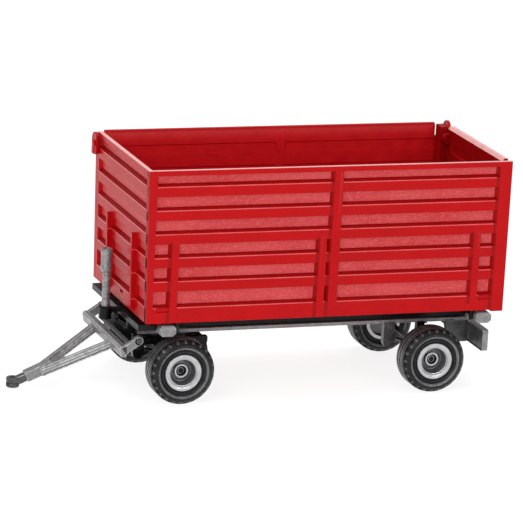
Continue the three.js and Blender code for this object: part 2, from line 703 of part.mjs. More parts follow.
addPart("tub", "red", cut(tub(), tailPinHoles()));
addPart("side_flap", "red", flap());
addPart("flap_pin_front", "red", flapPin(-2.2, 2.4));
addPart("flap_pin_rear", "red", flapPin(flapRearX - 3.6, boxLength));
addPart("tailgate", "red", tailgate());
addPart("tailgate_pin_left", "red", tailPin(nearSide + 2.4, tailNear + tailPinReach));
addPart("tailgate_pin_right", "red", tailPin(tailFar - tailPinReach, tailPinEnd));
addPart("chassis_frame", "black", chassisFrame());
addPart("lamp_bar", "black", lampBar());
addPart("lamp_lens_left", "lens", lens(-1));
addPart("lamp_lens_right", "lens", lens(1));
addPart("kingpin", "black", kingpin());
addPart("bogie_frame", "black", bogieFrame());
addPart("drawbar_frame", "black", drawbarFrame());
addPart("tow_eye", "black", towEye());
addPart("post_tube", "silver", postFootPiece());
addPart("post_head", "silver", postHead());
addPart("ram_barrel", "black", ramBarrel());
for (let i = 1; i <= stageCount; i += 1) addPart("ram_stage_" + i, "steel", ramStage(i));
addPart("front_axle", "black", axle(frontAxleX));
addPart("rear_axle", "black", axle(rearAxleX));
for (const [hand, side] of [["left", -1], ["right", 1]]) {
  addPart("pivot_block_front_" + hand, "black", pivotBlock(frontBlockX, side, 1));
  addPart("pivot_block_rear_" + hand, "black", pivotBlock(rearBlockX, side, -1));
  addPart("drawbar_pin_" + hand, "black", drawPinAt(side));
  for (const [end, x] of [["front", frontAxleX], ["rear", rearAxleX]]) {
    addPart("spring_" + end + "_" + hand, "black", spring(x, side));
    addPart("tyre_" + end + "_" + hand, "tyre", tyre(x, side));
    addPart("rim_" + end + "_" + hand, "silver", rim(x, side));
  }
}

// The origin stands on the ground below the middle of the whole length, drawbar included.
trailer.position.x = -(boxLength + eyeX - eyeRadius) / 2;

export default trailer;
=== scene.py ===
import math

import bmesh
import bpy
from mathutils import Matrix, Vector


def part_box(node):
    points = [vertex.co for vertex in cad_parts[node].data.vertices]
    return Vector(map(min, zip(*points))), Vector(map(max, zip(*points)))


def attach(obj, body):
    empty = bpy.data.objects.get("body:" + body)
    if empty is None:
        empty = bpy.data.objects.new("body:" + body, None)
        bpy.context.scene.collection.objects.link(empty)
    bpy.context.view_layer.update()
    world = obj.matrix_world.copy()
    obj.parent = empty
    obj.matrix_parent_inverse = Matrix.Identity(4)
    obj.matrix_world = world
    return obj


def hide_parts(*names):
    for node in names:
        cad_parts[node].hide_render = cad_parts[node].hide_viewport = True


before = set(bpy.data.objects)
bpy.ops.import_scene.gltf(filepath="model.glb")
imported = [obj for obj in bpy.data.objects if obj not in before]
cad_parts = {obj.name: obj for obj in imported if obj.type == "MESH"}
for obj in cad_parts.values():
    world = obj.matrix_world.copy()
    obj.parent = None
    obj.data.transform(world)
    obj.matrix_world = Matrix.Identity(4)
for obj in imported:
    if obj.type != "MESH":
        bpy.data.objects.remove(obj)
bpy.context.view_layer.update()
print("frame loaded,", len(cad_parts), "nodes")

# Pieces are drawn in millimetres from the front wall's top edge, then settled into the frame's metres.
mm = 0.001
boxLength = 165.0
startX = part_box("tub")[1].x - boxLength * mm
fullTurn = 2 * math.pi

def grain(tree, size, stretch=(1, 1, 1), detail=3.0):
    # noise with cells of about this size, in millimetres
    coords = tree.nodes.new("ShaderNodeTexCoord")
    mapping = tree.nodes.new("ShaderNodeMapping")
    mapping.inputs["Scale"].default_value = [1 / s for s in stretch]
    noise = tree.nodes.new("ShaderNodeTexNoise")
    noise.inputs["Scale"].default_value = 1 / (size * mm)
    noise.inputs["Detail"].default_value = detail
    tree.links.new(coords.outputs["Object"], mapping.inputs["Vector"])
    tree.links.new(mapping.outputs["Vector"], noise.inputs["Vector"])
    return noise.outputs["Fac"]


def spread(tree, value, low, high):
    # turns the middle of a noise into a range
    ramp = tree.nodes.new("ShaderNodeMapRange")
    ramp.inputs["From Min"].default_value = 0.3
    ramp.inputs["From Max"].default_value = 0.7
    ramp.inputs["To Min"].default_value = low
    ramp.inputs["To Max"].default_value = high
    tree.links.new(value, ramp.inputs["Value"])
    return ramp.outputs["Result"]


def mix(tree, factor, first, second):
    blend = tree.nodes.new("ShaderNodeMix")
    blend.data_type = "RGBA"
    tree.links.new(factor, blend.inputs["Factor"])
    for socket, colour in (("A", first), ("B", second)):
        target = next(s for s in blend.inputs if s.name == socket and s.type == "RGBA")
        if isinstance(colour, tuple):
            target.default_value = (*colour, 1)
        else:
            tree.links.new(colour, target)
    return next(s for s in blend.outputs if s.type == "RGBA")


def finish(name, look):
    material = bpy.data.materials.new(name)
    material.use_nodes = True
    tree = material.node_tree
    shader = tree.nodes["Principled BSDF"]
    for socket, value in look.get("fixed", {}).items():
        shader.inputs[socket].default_value = value
    patches = spread(tree, grain(tree, look["patch"]), 0, 1)
    colour = mix(tree, patches, look["colour"], look["second"])
    if "speck" in look:
        size, stretch, low, high, speckColour = look["speck"]
        specks = spread(tree, grain(tree, size, stretch, 4.0), low, high)
        colour = mix(tree, specks, colour, speckColour)
    tree.links.new(colour, shader.inputs["Base Color"])
    size, low, high = look["rough"]
    tree.links.new(spread(tree, grain(tree, size), low, high), shader.inputs["Roughness"])
    normal = None
    for size, stretch, height in look["bumps"]:
        bump = tree.nodes.new("ShaderNodeBump")
        bump.inputs["Strength"].default_value = 1.0
        bump.inputs["Distance"].default_value = height * mm
        tree.links.new(grain(tree, size, stretch), bump.inputs["Height"])
        if normal:
            tree.links.new(normal, bump.inputs["Normal"])
        normal = bump.outputs["Normal"]
    tree.links.new(normal, shader.inputs["Normal"])
    return material


even = (1, 1, 1)
finishes = {
    "redGloss": {  # polished ribs, posts and inside faces
        "colour": (0.50, 0.0035, 0.0055), "second": (0.45, 0.003, 0.005), "patch": 14,
        "rough": (3.0, 0.24, 0.32), "bumps": [(4.0, even, 0.03)],
        "fixed": {"Specular IOR Level": 0.09},
    },
    "redStippleSheen": {  # sand-textured panels between the ribs; their lighter pink and lighter specks are painted sheen
        "colour": (0.54, 0.018, 0.022), "second": (0.62, 0.052, 0.056), "patch": 30,
        "speck": (0.5, (2.2, 2.2, 1), -0.5, 0.8, (0.70, 0.10, 0.105)),
        "rough": (0.8, 0.4, 0.58), "bumps": [(0.6, (1.6, 1.6, 1), 0.06)],
        "fixed": {"Specular IOR Level": 0.35},
    },
    "redPaintedShade": {  # painted shade on the lips, undersides and the shaded side of each post, the tailgate's inner face, its bosses and the far post
        "colour": (0.34, 0.003, 0.004), "second": (0.29, 0.003, 0.004), "patch": 6,
        "rough": (1.5, 0.3, 0.4), "bumps": [(0.8, even, 0.01)],
        "fixed": {"Specular IOR Level": 0.1},
    },
    "redInsideLit": {  # a lighter copy of the red, painted light on the inner face of the flap
        "colour": (0.62, 0.010, 0.014), "second": (0.52, 0.006, 0.010), "patch": 6,
        "rough": (1.5, 0.3, 0.4), "bumps": [(0.8, even, 0.01)],
        "fixed": {"Specular IOR Level": 0.1},
    },
    "redEdgeHighlight": {  # painted highlight on the rounded edges and on the thin strip under each rib top
        "colour": (0.74, 0.10, 0.105), "second": (0.66, 0.05, 0.055), "patch": 8,
        "rough": (1.5, 0.25, 0.35), "bumps": [(1.2, even, 0.01)],
        "fixed": {"Specular IOR Level": 0.4},
    },
    "redRimHighlight": {  # painted highlight on the top edges of the walls
        "colour": (0.95, 0.52, 0.50), "second": (0.90, 0.40, 0.39), "patch": 5,
        "rough": (1.5, 0.3, 0.4), "bumps": [(1.2, even, 0.01)],
        "fixed": {"Specular IOR Level": 0.7},
    },
    "chassisBlack": {
        "colour": (0.004, 0.004, 0.005), "second": (0.010, 0.010, 0.011), "patch": 5,
        "rough": (1.2, 0.2, 0.36), "bumps": [(1.1, even, 0.04)],
        "fixed": {"Specular IOR Level": 0.15},
    },
    "chassisGrey": {  # tow eye, draw pins and lamp bar; painted light on the hangers of the black chassis and bogie, and painted shade on the drawbar's channels and undersides
        "colour": (0.04, 0.04, 0.043), "second": (0.10, 0.10, 0.105), "patch": 3,
        "speck": (0.7, even, -0.2, 0.6, (0.012, 0.012, 0.014)),
        "rough": (0.9, 0.26, 0.4), "bumps": [(0.9, even, 0.04)],
        "fixed": {"Specular IOR Level": 0.5},
    },
    "barGrey": {  # drawbar and pivot blocks, moulded in a lighter grey; also painted reflection on the chassis rail flanges and painted highlight on the lamp bar's top and ends
        "colour": (0.17, 0.17, 0.175), "second": (0.28, 0.28, 0.285), "patch": 2.5,
        "speck": (0.6, even, -0.4, 0.5, (0.06, 0.06, 0.063)),
        "rough": (0.9, 0.26, 0.4), "bumps": [(0.9, even, 0.05)],
        "fixed": {"Specular IOR Level": 0.6},
    },
    "chassisEdgeHighlight": {  # painted highlight on the rounded edges of the black and grey parts
        "colour": (0.62, 0.62, 0.63), "second": (0.24, 0.24, 0.25), "patch": 2,
        "rough": (0.9, 0.22, 0.34), "bumps": [(0.8, even, 0.02)],
        "fixed": {"Specular IOR Level": 0.8},
    },
    "rimSilver": {
        "colour": (0.56, 0.56, 0.57), "second": (0.40, 0.40, 0.41), "patch": 2.5,
        "speck": (0.4, even, -0.2, 0.5, (0.6, 0.6, 0.61)),
        "rough": (0.8, 0.3, 0.42), "bumps": [(0.5, even, 0.01)],
        "fixed": {"Metallic": 0.75},
    },
    "rimPaintedShade": {  # painted shade in the dish behind the lip and on the rim's inner side
        "colour": (0.16, 0.16, 0.165), "second": (0.10, 0.10, 0.105), "patch": 2.0,
        "rough": (0.8, 0.3, 0.42), "bumps": [(0.5, even, 0.02)],
        "fixed": {"Metallic": 0.5},
    },
    "tyreRidgeHighlight": {  # painted highlight on the ridges of the tread and sidewall
        "colour": (0.14, 0.14, 0.145), "second": (0.04, 0.04, 0.043), "patch": 7,
        "speck": (0.5, even, -0.4, 0.5, (0.34, 0.34, 0.345)),
        "rough": (1.0, 0.3, 0.45), "bumps": [(0.6, even, 0.04)],
        "fixed": {"Specular IOR Level": 0.5},
    },
    "tyreRubber": {
        "colour": (0.005, 0.005, 0.006), "second": (0.016, 0.016, 0.017), "patch": 4,
        "speck": (0.6, even, -0.4, 0.4, (0.05, 0.05, 0.052)),
        "rough": (1.0, 0.3, 0.45), "bumps": [(0.6, even, 0.05)],
        "fixed": {"Specular IOR Level": 0.22},
    },
    "postSilver": {
        "colour": (0.42, 0.42, 0.43), "second": (0.30, 0.30, 0.31), "patch": 2.2,
        "speck": (0.9, (1.5, 1.5, 0.6), -0.3, 0.75, (0.08, 0.08, 0.085)),
        "rough": (0.6, 0.28, 0.45), "bumps": [(0.8, (1.5, 1.5, 0.6), 0.1)],
        "fixed": {"Metallic": 0.55},
    },
    "ramSteel": {
        "colour": (0.5, 0.5, 0.51), "second": (0.42, 0.42, 0.43), "patch": 3,
        "rough": (0.4, 0.14, 0.26), "bumps": [(0.5, (1, 1, 0.08), 0.004)],
        "fixed": {"Metallic": 0.9},
    },
    "lensRed": {
        "colour": (0.34, 0.006, 0.008), "second": (0.27, 0.004, 0.006), "patch": 2,
        "rough": (0.8, 0.1, 0.18), "bumps": [(0.5, even, 0.02)],
        "fixed": {"Coat Weight": 0.6, "Coat Roughness": 0.05, "Specular IOR Level": 0.6},
    },
    "floorPale": {
        "colour": (0.30, 0.30, 0.30), "second": (0.28, 0.28, 0.285), "patch": 60,
        "rough": (20.0, 0.8, 0.9), "bumps": [(1.0, even, 0.01)],
        "fixed": {"Emission Color": (1, 1, 1, 1), "Emission Strength": 0.85, "Specular IOR Level": 0.0},
    },
}
paints = {name: finish(name, look) for name, look in finishes.items()}
print("materials mixed:", len(paints))

def focus(piece, mode="OBJECT"):
    if bpy.context.object and bpy.context.object.mode != "OBJECT":
        bpy.ops.object.mode_set(mode="OBJECT")
    bpy.ops.object.select_all(action="DESELECT")
    piece.select_set(True)
    bpy.context.view_layer.objects.active = piece
    if mode == "EDIT":
        bpy.ops.object.mode_set(mode="EDIT")
    return piece


def objectMode():
    bpy.ops.object.mode_set(mode="OBJECT")


def block(name, low, high):
    low, high = Vector(low), Vector(high)
    bpy.ops.object.select_all(action="DESELECT")
    bpy.ops.mesh.primitive_cube_add(size=1, location=(low + high) / 2, scale=high - low)
    piece = bpy.context.active_object
    piece.name = name
    bpy.ops.object.transform_apply(location=True, rotation=True, scale=True)
    return piece


def choose(piece, kind, test):
    # in edit mode, selects what passes test(centre, normal); an edge gives its direction instead
    bpy.ops.mesh.select_mode(type=kind)
    bpy.ops.mesh.select_all(action="DESELECT")
    mesh = bmesh.from_edit_mesh(piece.data)
    if kind == "VERT":
        found = [v for v in mesh.verts if test(v.co, v.normal)]
    elif kind == "EDGE":
        ends = [(e, e.verts[0].co, e.verts[1].co) for e in mesh.edges]
        found = [e for e, start, end in ends if test((start + end) / 2, end - start)]
    else:
        found = [f for f in mesh.faces if test(f.calc_center_median(), f.normal)]
    for part in found:
        part.select_set(True)
    mesh.select_flush_mode()
    bmesh.update_edit_mesh(piece.data)
    return len(found)


def cutAcross(piece, axis, places):
    # cuts the whole piece at each place along an axis
    focus(piece, "EDIT")
    bpy.ops.mesh.select_mode(type="VERT")
    normal = Vector([axis == a for a in "xyz"])
    for at in places:
        bpy.ops.mesh.select_all(action="SELECT")
        bpy.ops.mesh.bisect(plane_co=normal * at, plane_no=normal)
    objectMode()


def pull(piece, move, test):
    # extrudes the chosen faces by move
    focus(piece, "EDIT")
    if choose(piece, "FACE", test):
        bpy.ops.mesh.extrude_region_move(TRANSFORM_OT_translate={"value": move})
    objectMode()


def sink(piece, margin, depth, test, each=False):
    # insets the chosen faces and moves them in (or out, if depth is above 0)
    focus(piece, "EDIT")
    if choose(piece, "FACE", test):
        bpy.ops.mesh.inset(thickness=margin, depth=depth, use_individual=each)
    objectMode()


def nudge(piece, move, test):
    focus(piece, "EDIT")
    if choose(piece, "VERT", test):
        bpy.ops.transform.translate(value=move)
    objectMode()


def roundEdges(piece, width, steps, test):
    focus(piece, "EDIT")
    if choose(piece, "EDGE", test):
        bpy.ops.mesh.bevel(offset=width, segments=steps, affect="EDGES")
    objectMode()


def clean(piece, angle=0.6):
    # merges doubles and takes out cuts that lie flat
    focus(piece, "EDIT")
    bpy.ops.mesh.select_all(action="SELECT")
    bpy.ops.mesh.remove_doubles(threshold=0.002)
    bpy.ops.mesh.dissolve_limited(angle_limit=math.radians(angle), delimit={"MATERIAL"})
    objectMode()


def soften(piece, width, steps=2, angle=28, edgeHighlight=-1):
    # rounds the sharp edges, and paints the rounds with a painted highlight if asked
    focus(piece)
    while edgeHighlight >= len(piece.data.materials):
        piece.data.materials.append(None)
    bpy.ops.object.shade_smooth()
    bevel = piece.modifiers.new("edges", "BEVEL")
    bevel.width = width
    bevel.segments = steps
    bevel.limit_method = "ANGLE"
    bevel.angle_limit = math.radians(angle)
    bevel.harden_normals = True
    bevel.use_clamp_overlap = True
    bevel.material = edgeHighlight
    bpy.ops.object.modifier_apply(modifier=bevel.name)


def startPoint(name, at):
    bpy.ops.object.select_all(action="DESELECT")
    bpy.ops.mesh.primitive_circle_add(vertices=3, radius=0.01, location=at)
    piece = bpy.context.active_object
    piece.name = name
    bpy.ops.object.transform_apply(location=True, rotation=True, scale=True)
    bpy.ops.object.mode_set(mode="EDIT")
    bpy.ops.mesh.select_mode(type="VERT")
    bpy.ops.mesh.select_all(action="SELECT")
    bpy.ops.mesh.merge(type="CENTER")
    return piece


def drawLine(name, points, closed):
    # a point drawn out along an outline, left in edit mode
    points = [Vector(p) for p in points]
    piece = startPoint(name, points[0])
    stops = points[1:] + ([points[0]] if closed else [])
    for before, after in zip(points, stops):
        bpy.ops.mesh.extrude_vertices_move(TRANSFORM_OT_translate={"value": after - before})
    bpy.ops.mesh.select_all(action="SELECT")
    bpy.ops.mesh.remove_doubles(threshold=0.002)
    return piece


def plate(name, points, push):
    # an outline filled and pushed out
    piece = drawLine(name, points, True)
    bpy.ops.mesh.select_all(action="SELECT")
    bpy.ops.mesh.edge_face_add()
    bpy.ops.mesh.extrude_region_move(TRANSFORM_OT_translate={"value": push})
    bpy.ops.mesh.select_all(action="SELECT")
    bpy.ops.mesh.normals_make_consistent(inside=False)
    objectMode()
    return piece


def turned(name, profile, axis, steps, closed=True):
    # a profile of (radius, height) spun about an axis through the origin
    line = [Vector((r, h, 0)) if axis == "y" else Vector((r, 0, h)) for r, h in profile]
    if axis == "x":
        line = [Vector((h, r, 0)) for r, h in profile]
    piece = drawLine(name, line, closed)
    bpy.ops.mesh.select_all(action="SELECT")
    bpy.ops.mesh.spin(steps=steps, angle=fullTurn, center=(0, 0, 0), axis=[axis == a for a in "xyz"])
    bpy.ops.mesh.select_all(action="SELECT")
    bpy.ops.mesh.remove_doubles(threshold=0.004)
    bpy.ops.mesh.normals_make_consistent(inside=False)
    objectMode()
    return piece


def place(piece, move=(0, 0, 0), turn=(0, 0, 0), about=(0, 0, 0)):
    # turns about a point, moves, and applies both
    focus(piece)
    turns = [Matrix.Rotation(angle, 4, axis) for angle, axis in zip(turn, "XYZ")]
    rotation = turns[2] @ turns[1] @ turns[0]
    centre = Vector(about)
    piece.matrix_world = Matrix.Translation(Vector(move) + centre) @ rotation @ Matrix.Translation(-centre)
    bpy.ops.object.transform_apply(location=True, rotation=True, scale=True)
    return piece


def pinLine(length, radius, inward, along):
    # the outline of a round bar with chamfered ends
    return [(0, 0), (radius - inward, 0), (radius, along), (radius, length - along),
            (radius - inward, length), (0, length)]


def copyOf(piece, name):
    focus(piece)
    bpy.ops.object.duplicate(linked=False)
    twin = bpy.context.active_object
    twin.name = name
    return twin


def joined(name, *pieces):
    # every piece first gets the same paint slots, so its faces keep their numbers
    slots = max(len(piece.data.materials) for piece in pieces)
    for piece in pieces:
        while len(piece.data.materials) < slots:
            piece.data.materials.append(None)
        for i in range(slots):
            piece.data.materials[i] = list(paints.values())[i]
    focus(pieces[0])
    for piece in pieces:
        piece.select_set(True)
    bpy.ops.object.join()
    pieces[0].name = name
    return pieces[0]


def cutOut(piece, tool):
    focus(piece)
    cutter = piece.modifiers.new("cut", "BOOLEAN")
    cutter.operation = "DIFFERENCE"
    cutter.solver = "EXACT"
    cutter.object = tool
    bpy.ops.object.modifier_apply(modifier=cutter.name)
    bpy.data.objects.remove(tool)
    return piece


def fromNode(node, name):
    # a merged copy of a CAD node, in millimetres, ready for bevels
    piece = bpy.data.objects.new(name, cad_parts[node].data.copy())
    bpy.context.scene.collection.objects.link(piece)
    focus(piece)
    piece.data.materials.clear()
    piece.scale = (1 / mm, 1 / mm, 1 / mm)
    piece.location = (-startX / mm, 0, 0)
    bpy.ops.object.transform_apply(location=True, rotation=True, scale=True)
    bpy.ops.mesh.customdata_custom_splitnormals_clear()
    clean(piece, 1.0)
    return piece


def settle(piece, body, coats, nodes=(), smooth=None):
    # into the frame's metres, painted and riding on its body
    focus(piece)
    piece.scale = (mm, mm, mm)
    piece.location = (startX, 0, 0)
    bpy.ops.object.transform_apply(location=True, rotation=True, scale=True)
    if smooth:
        bpy.ops.object.shade_smooth_by_angle(angle=math.radians(smooth))
    coats = [coats] if isinstance(coats, str) else coats
    for i, paint in enumerate(coats):
        if i < len(piece.data.materials):
            piece.data.materials[i] = paints[paint]
        else:
            piece.data.materials.append(paints[paint])
    while len(piece.data.materials) > len(coats):
        piece.data.materials.pop()
    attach(piece, body)
    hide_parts(*nodes)
    return piece


def coat(piece, index, test):
    # gives a second or third paint to the chosen faces
    while len(piece.data.materials) <= index:
        piece.data.materials.append(None)
    for face in piece.data.polygons:
        if test(face.center, face.normal):
            face.material_index = index


wall = {
    "top": 103.7, "bottom": 37.3, "thick": 2.8, "recess": 1.8, "rim": 2.2, "rimThick": 1.9, "rimTaper": 1.2,
    "firstDrop": 6.8, "pitch": 10.3, "rib": 4.5, "ribs": 5, "lip": 1.1, "railTop": 44.2,
    "shortTop": 73.0, "slope": 0.45, "flank": 0.9, "proud": 0.3, "edge": 0.2, "pocketLow": 42.1,
    "tabTop": 40.6, "line": 0.45, "shade": 1.6,
}


def bands():
    # the recesses between the ribs as (low, high)
    tops = [wall["top"] - wall["firstDrop"] - i * wall["pitch"] for i in range(wall["ribs"])]
    highs = [wall["top"] - wall["rim"]] + [t - wall["rib"] for t in tops]
    return list(zip(tops + [wall["railTop"]], highs))


def within(value, spans):
    return any(a < value < b for a, b in spans)


def ribbedWall(name, length, full, short=(), tabs=(), pockets=(), proud=()):
    # runs along X with its ribbed face towards -Y at y 0; full and short posts are (start, end)
    piece = block(name, (0, 0, wall["bottom"]), (length, wall["thick"], wall["top"]))
    stops = sorted({x for span in (*full, *short, *tabs, *pockets) for x in span} - {0, length})
    cutAcross(piece, "x", stops)
    # strips on the ribs just before each post, which get painted shade
    shadeStrips = [(span[0] - wall["shade"], span[0]) for span in (*full, *short) if span[0] > 0]
    cutAcross(piece, "x", [strip[0] for strip in shadeStrips])
    heights = {z for band in bands() for z in band} | {wall["shortTop"], wall["top"] - wall["rimTaper"]}
    heights = sorted(heights | {low - wall["line"] for low, high in bands()})
    heights += [wall["tabTop"]] if tabs else []
    heights += [wall["pocketLow"]] if pockets else []
    cutAcross(piece, "z", heights)

    def recessed(c, n):
        posts = within(c.x, full) or (within(c.x, short) and c.z < wall["shortTop"])
        return n.y < -0.9 and within(c.z, bands()) and not posts

    sink(piece, wall["slope"], -wall["recess"], recessed)
    back = wall["recess"] - 0.05
    for low, high in bands():
        nudge(piece, (0, 0, wall["slope"] - 0.12),
              lambda c, n: back < c.y < back + 0.2 and abs(c.z - high + wall["slope"]) < 0.05)
        nudge(piece, (0, 0, wall["lip"] - wall["slope"]),
              lambda c, n: back < c.y < back + 0.2 and abs(c.z - low - wall["slope"]) < 0.05)
    for start in [span[0] for span in (*full, *short) if span[0] > 0]:
        nudge(piece, (-wall["flank"], 0, 0),
              lambda c, n: back < c.y < back + 0.2 and abs(c.x - start + wall["slope"]) < 0.05)
    if pockets:
        sink(piece, 0.3, -0.5, lambda c, n: n.y < -0.9 and within(c.x, pockets)
             and wall["pocketLow"] < c.z < wall["railTop"] and abs(c.y) < 0.1)
    if tabs:
        sink(piece, 0.15, 0.22, lambda c, n: n.y < -0.9 and within(c.x, tabs) and c.z < wall["tabTop"])
    if proud:
        sink(piece, 0.7, wall["proud"], lambda c, n: n.y < -0.9 and abs(c.y) < 0.05 and within(c.x, proud)
             and 41 < c.z < wall["top"] - wall["rim"] and (within(c.x, full) or c.z < wall["shortTop"]))
    nudge(piece, (0, wall["rimThick"] - wall["thick"], 0),
          lambda c, n: c.z > wall["top"] - 0.05 and c.y > wall["thick"] - 0.05)
    ribBands = [(low - wall["rib"], low) for low, high in bands()[:-1]]
    sink(piece, 0.5, -0.35, lambda c, n: n.y > 0.9 and within(c.z, ribBands) and 5 < c.x < length - 5
         and not within(c.x, full))
    # the recess faces get the stipple paint, whose lighter pink is painted sheen
    coat(piece, 1, lambda c, n: n.y < -0.9 and wall["recess"] - 0.1 < c.y < wall["recess"] + 0.1)
    # the flank at the front end of each recess is painted shade
    coat(piece, 2, lambda c, n: n.x < -0.5 and 0.3 < c.y < wall["recess"] - 0.2)
    # a thin strip just under each rib top gets a painted highlight
    lines = [(low - wall["line"], low) for low, high in bands()]
    coat(piece, 3, lambda c, n: n.y < -0.9 and abs(c.y) < 0.1 and within(c.z, lines)
         and not within(c.x, full) and not (within(c.x, short) and c.z < wall["shortTop"]))
    # the strips on the ribs just before each post are painted shade
    tall = [strip for strip in shadeStrips if within(strip[1] + 0.1, full)]
    coat(piece, 2, lambda c, n: n.y < -0.9 and abs(c.y) < 0.1 and c.z < wall["top"] - wall["rim"]
         and (within(c.x, tall) or (within(c.x, shadeStrips) and c.z < wall["shortTop"])))
    # the sloped lips under each recess are painted shade
    coat(piece, 2, lambda c, n: n.z > 0.3 and n.y < -0.3 and 0.2 < c.y < wall["recess"])
    # the top faces get a painted highlight
    coat(piece, 4, lambda c, n: n.z > 0.9 and c.z > wall["top"] - 0.05)
    return piece


reds = ["redGloss", "redStippleSheen", "redPaintedShade", "redEdgeHighlight", "redRimHighlight"]
side = {
    "full": [(0, 4.1), (83.2, 87.2), (159.5, 165)],
    "short": [(11.8, 15), (78, 81.2), (149.2, 152.4)],
    "tabs": [(15, 18), (43.7, 45.7), (68.6, 71.7), (91.7, 93.7), (117.9, 119.9), (147, 149.2)],
    "pockets": [(5.9, 11.4), (152.9, 158.6)],
    "proud": [(83.2, 87.2), (11.8, 15), (78, 81.2), (149.2, 152.4)],
    "lean": 1.6, "nearY": -38.7, "farY": 38.7, "footDrop": 0.7,
}


def leanFront(piece, lean, reach=0.05):
    # slopes the front end of a side wall like the front wall; the shear tool needs a window
    for v in piece.data.vertices:
        if v.co.x < reach:
            v.co.x += lean * (wall["top"] - v.co.z) / (wall["top"] - wall["bottom"])


nearSide = ribbedWall("box_side_left", boxLength, side["full"], side["short"], side["tabs"],
                      side["pockets"], side["proud"])
pull(nearSide, (0, 0, -side["footDrop"]), lambda c, n: n.z < -0.9 and c.z < 37.4 and c.x > 159.5)
leanFront(nearSide, side["lean"])
clean(nearSide)
soften(nearSide, wall["edge"], edgeHighlight=3)
place(nearSide, (0, side["nearY"], 0))
settle(nearSide, "box", reds, ["tub"])

front = {
    "near": -38.9, "far": 35.9, "fins": [-21.8, 14.0], "finHalf": 0.8, "finReach": 2.0, "finFoot": 38.8,
    "lean": 1.6, "slit": (-5.0, -1.0, 41.4, 42.7),
}
frontLength = front["far"] - front["near"]
finSpans = [(front["far"] - y - front["finHalf"], front["far"] - y + front["finHalf"]) for y in front["fins"]]
frontWall = ribbedWall("box_front", frontLength, [(0, 2.0), (frontLength - 0.9, frontLength)], finSpans)
# the sloped top of the front wall gets a painted highlight
coat(frontWall, 4, lambda c, n: n.z > 0.2 and c.z > wall["top"] - wall["rimTaper"])
slitSpan = (front["far"] - front["slit"][1], front["far"] - front["slit"][0])
cutAcross(frontWall, "x", slitSpan)
cutAcross(frontWall, "z", (front["finFoot"], *front["slit"][2:]))
sink(frontWall, 0.1, -1.4, lambda c, n: n.y < -0.9 and within(c.x, [slitSpan])
     and within(c.z, [front["slit"][2:]]))
pull(frontWall, (0, -front["finReach"], 0), lambda c, n: n.y < -0.9 and abs(c.y) < 0.05
     and within(c.x, finSpans) and front["finFoot"] < c.z < wall["shortTop"])
nudge(frontWall, (0, 0, 1.6), lambda c, n: c.y < -1.9 and c.z < front["finFoot"] + 0.1)
clean(frontWall)
soften(frontWall, wall["edge"], edgeHighlight=3)
frontTilt = math.atan(front["lean"] / (wall["top"] - wall["bottom"]))
place(frontWall, turn=(frontTilt, 0, 0), about=(0, 0, wall["top"]))
place(frontWall, turn=(0, 0, -math.pi / 2))
place(frontWall, (0, front["far"], 0))
settle(frontWall, "box", reds, ["tub"])
print("front and left walls moulded")

floor = {
    "start": 2.8, "end": 161.9, "near": -38.0, "far": 35.9, "under": 38.4, "top": 40.0,
    "runnerY": 9.5, "runnerHalf": 1.5, "runnerStart": 8.0, "runnerEnd": 156.0, "runnerFoot": 36.3,
    "lines": 8, "groove": 0.25,
}
bed = block("box_floor", (floor["start"], floor["near"], floor["under"]),
            (floor["end"], floor["far"], floor["top"]))
runnerEdges = [s * floor["runnerY"] + t * floor["runnerHalf"] for s in (-1, 1) for t in (-1, 1)]
lineStep = (floor["end"] - floor["start"]) / floor["lines"]
grooves = [floor["start"] + lineStep * i for i in range(1, floor["lines"])]
cutAcross(bed, "y", runnerEdges)
cutAcross(bed, "x", [floor["runnerStart"], floor["runnerEnd"]])
cutAcross(bed, "x", [g + s * 0.3 for g in grooves for s in (-1, 1)])
pull(bed, (0, 0, floor["runnerFoot"] - floor["under"]), lambda c, n: n.z < -0.9
     and floor["runnerStart"] < c.x < floor["runnerEnd"]
     and abs(abs(c.y) - floor["runnerY"]) < floor["runnerHalf"])
pull(bed, (0, 0, -floor["groove"]), lambda c, n: n.z > 0.9 and any(abs(c.x - g) < 0.25 for g in grooves))
clean(bed)
soften(bed, 0.12)
farPost = block("farPost", (158.85, 29.4, floor["under"]), (163.2, 35.9, 103.5))
soften(farPost, 0.25)
# the far post is painted shade in the darker red
coat(farPost, 2, lambda c, n: True)
hook = {"xs": [15.9, 151.1], "y": 33.0, "z": 33.4, "thick": 1.6, "half": 2.4, "bore": 1.42, "foot": 32.2}
slot = [(math.cos(a), math.sin(a)) for a in [math.pi * k / 10 for k in range(10, -1, -1)]]
hookLine = [(-hook["half"], 38.6), (-hook["half"], hook["foot"]), (-hook["bore"], hook["foot"])]
hookLine += [(hook["bore"] * c, hook["z"] + hook["bore"] * s) for c, s in slot]
hookLine += [(hook["bore"], hook["foot"]), (hook["half"], hook["foot"]), (hook["half"], 38.6)]
hooks = [plate("hook", [(0, y, z) for y, z in hookLine], (hook["thick"], 0, 0))]
soften(hooks[0], 0.12)
# the hooks below the floor are painted black, as painted shade under the box
coat(hooks[0], 1, lambda c, n: c.z < 38.5)
for x in hook["xs"]:
    for s in (-1, 1):
        hooks.append(place(copyOf(hooks[0], "hook"), (x, s * hook["y"], 0)))
bpy.data.objects.remove(hooks.pop(0))
bed = joined("box_floor", bed, farPost, *hooks)
settle(bed, "box", ["redGloss", "chassisBlack", "redPaintedShade"], ["tub"])

ear = {"y": 35.7, "z": 98.5, "half": 3.3, "thick": 1.5, "low": 96.8, "pin": 1.4, "lip": 1.0}


